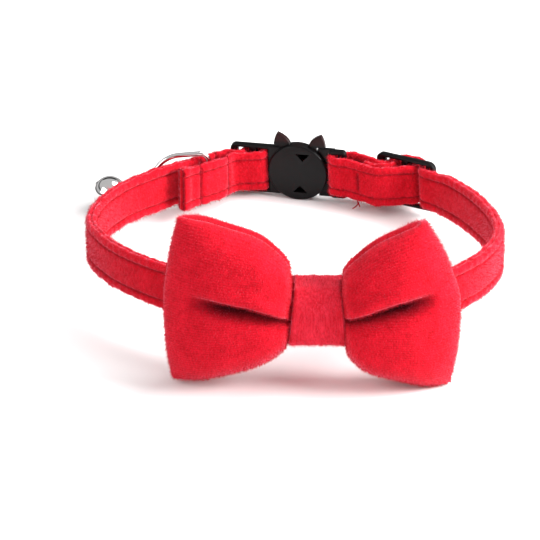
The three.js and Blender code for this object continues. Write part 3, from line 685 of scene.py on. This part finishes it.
def smoothed(rows):
    """A table's rows, filled in by a smooth line that doesn't overshoot them."""
    x, y = rows[:, 0], rows[:, 1:]
    rise = np.diff(y, axis=0) / np.diff(x)[:, None]
    slope = np.vstack([rise[:1], rise[:-1], rise[-1:]])[:len(x)]
    a, b = rise[:-1], rise[1:]
    slope[1:-1] = np.where(a * b > 0, 2 * a * b / np.where(a + b == 0, 1, a + b), 0)
    slope[-1] = rise[-1]
    out = []
    for i, wide in enumerate(np.diff(x)):
        for t in np.linspace(0, 1, 24, endpoint=False):
            out.append(np.concatenate([[x[i] + t * wide], (
                (2 * t**3 - 3 * t**2 + 1) * y[i] + (t**3 - 2 * t**2 + t) * wide * slope[i]
                + (3 * t**2 - 2 * t**3) * y[i + 1] + (t**3 - t**2) * wide * slope[i + 1])]))
    return np.array(out + [rows[-1]])


lobe_sections, lobe_edges = smoothed(lobe_sections), smoothed(lobe_edges)


def bow_point(angle, row, inner):
    """A point of the bow, and how much painted shade the crease puts on it: x, y, z, share."""
    side = -1 if math.cos(angle) < 0 else 1
    out = abs(math.cos(angle)) ** 0.8
    blunt = (1 - out ** 6) ** 0.5  # closes the lobe's far end
    high, left, right, front, back = (
        np.interp(out, lobe_sections[:, 0], lobe_sections[:, k]) for k in range(1, 6))
    longest, edge_reach = (lobe_reach * np.interp(
        r, lobe_edges[:, 0], lobe_edges[:, 1 if side < 0 else 2]) for r in (0, row))
    reach = longest + (edge_reach - longest) * out ** 2
    wall = bow_wall if inner else pile_inset
    facing = math.sin(angle) < 0
    closed = 0.3 if facing else 0.75
    rim = closed + (1 - closed) * (1 - abs(row) ** 6)
    full = lobe_puff * (front if facing else back)
    creased = sag = crease_painted_shade = 0
    if facing:
        above = (row - np.interp(out, crease_line[:, 0], crease_line[:, 1 if side < 0 else 2]))
        fade = max(0, 1 - (out / 0.86) ** 2.2) * min(1, max(0, out - 0.17) / 0.06)
        creased = fade * (crease_depth * math.exp(-(above / (0.17 if above < 0 else 0.06)) ** 2)
                          - 1.3 * math.exp(-((above - 0.17) / 0.12) ** 2))
        sag = 0.6 * fade * math.exp(-((above - 0.07) / 0.07) ** 2)
        # Painted shade: the colour is darkened in the crease, under its upper lip.
        crease_painted_shade = min(1, 1.8 * fade) * math.exp(-((above + 0.04) / 0.1) ** 2)
    deep = full if out < 0.186 else full * rim - creased
    left_over = max(deep - wall - (2 * row ** 6 if inner else 0), gap / 2 if inner else 0)
    lift = left if side < 0 else right
    crowd = 1.0 * max(0, row) * math.exp(-((out - 0.22) / 0.05) ** 2)  # towards the knot
    return (bow_across + side * (out * reach - wall * out ** 4 - crowd),
            pinch_middle + (-1 if facing else 1) * left_over * blunt,
            bow_rise * lift + row * (0.98 if inner else 1) * bow_half_height * high - sag, crease_painted_shade)


crease_line = np.array([  # out, and where the crease runs on the left and right lobe
    (0.2, -0.12, 0.04), (0.46, 0.03, 0.14), (0.77, 0.12, 0.225), (1.0, 0.13, 0.24),
])
bow_velvet = velvet("bow_velvet", "#A80814", "#D6182C", 0.1)
roll_steps = (0.12, 0.3, 0.5, 0.7, 0.88)


def rolled(start, end, up):
    """Points of a rounded edge between two others."""
    start, end = np.array(start), np.array(end)
    bulge = min(0.45 * np.linalg.norm(end - start), 0.5)
    return [tuple(start + (end - start) * t + (0, 0, up * bulge * math.sin(math.pi * t), 0))
            for t in roll_steps]


turns = 240
spread_rows = np.linspace(-0.975, 0.975, 81)
outer_rows = np.sign(spread_rows) * np.abs(spread_rows) ** 1.25
inner_rows = np.linspace(0.975, -0.975, 25)
angles = 2 * math.pi * (np.arange(turns) + 0.5) / turns
points = []
for angle in angles:
    outside = [bow_point(angle, row, False) for row in outer_rows]
    inside = [bow_point(angle, row, True) for row in inner_rows]
    points += outside + rolled(outside[-1], inside[0], 1) + inside
    points += rolled(inside[-1], outside[0], -1)
column = len(outer_rows) + len(inner_rows) + 2 * len(roll_steps)
# The crease's painted shade at each point of the bow.
bow_painted_shade = [p[3] for p in points]
bow = mesh_object("velvet_bow", [p[:3] for p in points],
                  grid_faces(turns, column, True, True), bow_velvet)
spread = np.repeat([abs(math.cos(a)) ** 0.8 * lobe_reach for a in angles], column)
edge_rows = np.ones(len(roll_steps))
rows_mm = np.tile(np.concatenate(
    [outer_rows, edge_rows, inner_rows, -edge_rows]) * bow_half_height, turns)
outside = np.tile(np.concatenate(
    [outer_rows ** 0, edge_rows, 0 * inner_rows, edge_rows]), turns)
bow_lay = np.repeat([(0.3 * np.sign(math.cos(a)), 0, -0.6) for a in angles], column, axis=0)
lay_cloth(bow, spread, rows_mm, bow_lay, outside, bow_painted_shade)
bow_pile_finish = pile_finish("bow_pile", "#A40816", "#DE263A")
bow_pile = from_nodes("bow_pile", bow, pile, "collar", **{
    "Tuft": tuft, "Tufts per mm2": tufts_per_mm2 * 1.2, "Lean": 0.9, "Scatter": 0.4, "Seed": 2,
    "Finish": bow_pile_finish})
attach(bow, "collar")
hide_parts("bow_band")

# The knot is a strip of the same velvet, folded in at its edges and sewn into a ring round
# the gathered bow and the strap.
knot_front = pinch_middle - bow_pinch / 2 - gap
knot_back = -loop_half_depth + strap_at_knot / 2 + 2 * gap
knot_deep = (knot_back - knot_front) / 2
knot_high = (strap_width + strap_narrow) / 4 + 1.5 * gap
knot_section = (  # share of the half width, share of the wall
    (-1.0, 0.0), (-1.02, 0.5), (-1.0, 0.85), (-0.95, 1.05), (-0.86, 1.1), (-0.78, 1.0),
    (-0.5, 1.0), (-0.2, 1.05), (0.2, 1.05), (0.5, 1.0), (0.78, 1.0), (0.88, 1.1),
    (0.96, 1.02), (1.0, 0.8), (1.02, 0.45), (1.0, 0.0),
)
knot_turns, knot_girth = 120, 42
points = []
for i in range(knot_turns):
    a = 2 * math.pi * i / knot_turns
    for wide, grow in knot_section:
        wall = grow * (knot_wall - 0.1)
        wall += 0.12 * wander(np.array(a * 6 + wide * 3), 21, 1.1) * (grow > 0.4)
        boxy = 0.35 if math.cos(a) > 0 else 0.52
        up = math.copysign(abs(math.sin(a)) ** boxy, math.sin(a))
        narrow = 0.1 * (1 + up) if math.cos(a) < 0 else 0.1 * (1 + up) * abs(math.sin(a)) ** 4
        points.append((
            bow_across + wide * (1 - narrow) * knot_width / 2,
            (knot_front + knot_back) / 2
            + (knot_deep + wall) * math.copysign(abs(math.cos(a)) ** boxy, math.cos(a)),
            (knot_high + wall) * up,
        ))
knot_column = len(knot_section)
# Painted light: the knot's velvet and pile are lighter than the bow's, for the light that falls
# on the knot.
knot_velvet_painted_lighter = velvet("knot_velvet_painted_lighter", "#B80A18", "#EC344A", 0.0)
knot = mesh_object(
    "velvet_knot", points, grid_faces(knot_turns, knot_column, True, True), knot_velvet_painted_lighter)
knot_round = np.repeat(np.arange(knot_turns) * knot_girth / knot_turns, knot_column)
knot_wide = np.tile([w * knot_width / 2 for w, g in knot_section], knot_turns)
knot_out = np.tile([1.0 if g > 0.3 else 0.0 for w, g in knot_section], knot_turns)
lay_cloth(knot, knot_wide, knot_round, np.tile((0.0, 0.0, -0.7), (len(points), 1)), knot_out,
          np.zeros(len(points)))
knot_pile = from_nodes("knot_pile", knot, pile, "collar", **{
    "Tuft": tuft, "Tufts per mm2": tufts_per_mm2 * 1.3, "Lean": 0.8, "Scatter": 0.6, "Seed": 3,
    "Finish": pile_finish("knot_pile", "#B80C1C", "#F04C66")})
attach(knot, "collar")
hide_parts("bow_knot")

# The buckle's two halves snap together on the strap, and the slider holds its length. All
# three are black acetal, semi-gloss from a fine-grained mould that leaves the edges slightly
# rounded.
acetal, acetal_tree, acetal_shader = surface(
    "black_acetal", Base_Color=linear("#080607"), Roughness=0.34, Specular_IOR_Level=0.16)
grains_per_m, edge_round = 900.0, 0.12  # coarser than a real mould's grain, so that it shows
spot = add(acetal_tree, "ShaderNodeTexCoord").outputs["Object"]
tall = add(acetal_tree, "ShaderNodeMapRange", {
    "Value": add(acetal_tree, "ShaderNodeSeparateXYZ", {0: spot}).outputs["Z"],
    "From Min": 0.0138, "From Max": 0.0146})
brown = add(acetal_tree, "ShaderNodeMix", {  # the ears are thin and let a brown light through
    0: tall.outputs["Result"], 6: linear("#080607"), 7: linear("#200A0B")}, data_type="RGBA")
acetal_tree.links.new(brown.outputs[2], acetal_shader.inputs["Base Color"])
cloud = add(acetal_tree, "ShaderNodeTexNoise", {
    "Vector": spot, "Scale": grains_per_m, "Detail": 3.0})
haze = add(acetal_tree, "ShaderNodeMapRange", {
    "Value": cloud.outputs["Fac"], "To Min": 0.28, "To Max": 0.44})
acetal_tree.links.new(haze.outputs["Result"], acetal_shader.inputs["Roughness"])
grainy = add(acetal_tree, "ShaderNodeBump", {
    "Height": cloud.outputs["Fac"], "Strength": 0.12, "Distance": 0.0001})
acetal_tree.links.new(grainy.outputs["Normal"], acetal_shader.inputs["Normal"])

for node in ("buckle_housing", "buckle_plug", "strap_slider"):
    shape = bmesh.new()
    shape.from_mesh(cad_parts[node].data)
    bmesh.ops.remove_doubles(shape, verts=shape.verts, dist=1e-6)
    mesh = bpy.data.meshes.new("moulded_" + node)
    shape.to_mesh(mesh)
    shape.free()
    mesh.shade_smooth()
    mesh.materials.append(acetal)
    made = bpy.data.objects.new("moulded_" + node, mesh)
    bpy.context.collection.objects.link(made)
    soft = made.modifiers.new("round", "BEVEL")
    soft.width = edge_round / 1000
    soft.segments = 2
    soft.limit_method = "ANGLE"
    soft.angle_limit = math.radians(32)
    soft.harden_normals = True
    soft.use_clamp_overlap = True
    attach(made, "collar")
    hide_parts(node)

# The D-ring and the jump ring are bent wire, and the bell is a slotted ball round a loose
# pellet. All are steel, polished before chrome plating, so they mirror the table and the dark
# bands. The D-ring turns in the strap's loop, and the bell hangs on it by the jump ring.
wear_per_m = 700.0
chrome, chrome_tree, chrome_shader = surface(
    "chrome_plate", Base_Color=linear("#E6E4E4"), Metallic=1.0, Roughness=0.08)
spot = add(chrome_tree, "ShaderNodeTexCoord").outputs["Object"]
wear = add(chrome_tree, "ShaderNodeTexNoise", {
    "Vector": spot, "Scale": wear_per_m, "Detail": 4.0})
dull = add(chrome_tree, "ShaderNodeMapRange", {
    "Value": wear.outputs["Fac"], "To Min": 0.05, "To Max": 0.16})
chrome_tree.links.new(dull.outputs["Result"], chrome_shader.inputs["Roughness"])
ring_place = Matrix.Translation((-19.395, 39.462, 7.503)) @ Matrix.Rotation(
    math.radians(190), 4, "Z")
drop = ring_place @ Matrix.Translation((12.455, 0, -2.177)) @ Matrix.Rotation(
    math.radians(-16), 4, "Z")
bell_place = drop @ Matrix.Translation((5.4, 0, 0)) @ Matrix.Rotation(math.radians(15), 4, "Y")
ring_half, ring_corner, ring_straight, ring_wire = 6.2, 2.0, 6.65, 1.2
jump_radius, jump_wire, jump_middle = 3.2, 0.9, 1.85
bell_middle, bell_radius, bell_wall, bell_slot = 5.125, 4.0, 0.5, 0.9
loop_radius, loop_wire = 1.5, 0.8
pellet_radius, pellet_down = 1.2, 2.0


def bend(x, z, radius, start, end, steps):
    """Points of an arc in the plane y = 0, with angles in degrees from x towards z."""
    return [(x + radius * math.cos(math.radians(a)), 0.0, z + radius * math.sin(math.radians(a)))
            for a in np.linspace(start, end, steps)]


def plated(node, points, faces, place):
    """A chrome piece that stands for one CAD node and swings with the ring."""
    made = mesh_object("plated_" + node, points, faces, chrome, place)
    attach(made, "bell_pendant")
    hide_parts(node)
    return made


corner = ring_half - ring_corner
ring_line = (bend(ring_straight, 0, ring_half, -90, 90, 49)
             + bend(ring_corner, corner, ring_corner, 90, 180, 13)
             + [(0.0, 0.0, z) for z in np.linspace(corner, -corner, 9)[1:-1]]
             + bend(ring_corner, -corner, ring_corner, 180, 270, 13))
plated("d_ring", *tube(ring_line, ring_wire / 2, (0.0, 1.0, 0.0), True, 20), ring_place)
flat = [(x + jump_middle, z, 0.0) for x, y, z in bend(0, 0, jump_radius, 0, 352.5, 48)]
plated("jump_ring", *tube(flat, jump_wire / 2, (0.0, 0.0, 1.0), True, 16), drop)


def ball(middle, radius):
    """Points and faces of a smooth ball."""
    shape = bmesh.new()
    bmesh.ops.create_icosphere(shape, subdivisions=5 if radius > 2 else 3, radius=radius)
    points = [tuple(v.co + Vector(middle)) for v in shape.verts]
    faces = [tuple(v.index for v in f.verts) for f in shape.faces]
    shape.free()
    return points, faces


plated("bell_pellet", *ball((bell_middle, 0, -pellet_down), pellet_radius), bell_place)
outer, faces = ball((bell_middle, 0, 0), bell_radius)
hollow = mesh_object("bell_ball", outer, faces, chrome, bell_place)
wall = hollow.modifiers.new("wall", "SOLIDIFY")
wall.thickness, wall.offset = bell_wall / 1000, -1
slot = bpy.data.meshes.new("bell_slot")
box = [(bell_middle + x, y * bell_slot / 2, z) for x in (2, 5) for y in (-1, 1) for z in (-5, 5)]
slot.from_pydata([0.001 * (bell_place @ Vector(p)) for p in box], [], [
    (0, 1, 3, 2), (4, 6, 7, 5), (0, 4, 5, 1), (2, 3, 7, 6), (0, 2, 6, 4), (1, 5, 7, 3)])
cutter = bpy.data.objects.new("bell_slot", slot)
bpy.context.collection.objects.link(cutter)
cut = hollow.modifiers.new("slot", "BOOLEAN")
cut.operation, cut.object, cut.solver = "DIFFERENCE", cutter, "EXACT"
bpy.context.view_layer.update()
graph = bpy.context.evaluated_depsgraph_get()
shell = bpy.data.meshes.new_from_object(hollow.evaluated_get(graph), depsgraph=graph)
bpy.data.objects.remove(hollow)
bpy.data.objects.remove(cutter)
loop_points, loop_faces = tube(
    bend(0, 0, loop_radius, 0, 345, 24), loop_wire / 2, (0.0, 1.0, 0.0), True)
loop = mesh_object("bell_loop", loop_points, loop_faces, chrome, bell_place)
whole = bmesh.new()
whole.from_mesh(shell)
whole.from_mesh(loop.data)
mesh = bpy.data.meshes.new("plated_bell")
whole.to_mesh(mesh)
whole.free()
bpy.data.objects.remove(loop)
mesh.set_sharp_from_angle(angle=math.radians(40))
mesh.materials.append(chrome)
bell = bpy.data.objects.new("plated_bell", mesh)
bpy.context.collection.objects.link(bell)
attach(bell, "bell_pendant")
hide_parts("bell_shell")
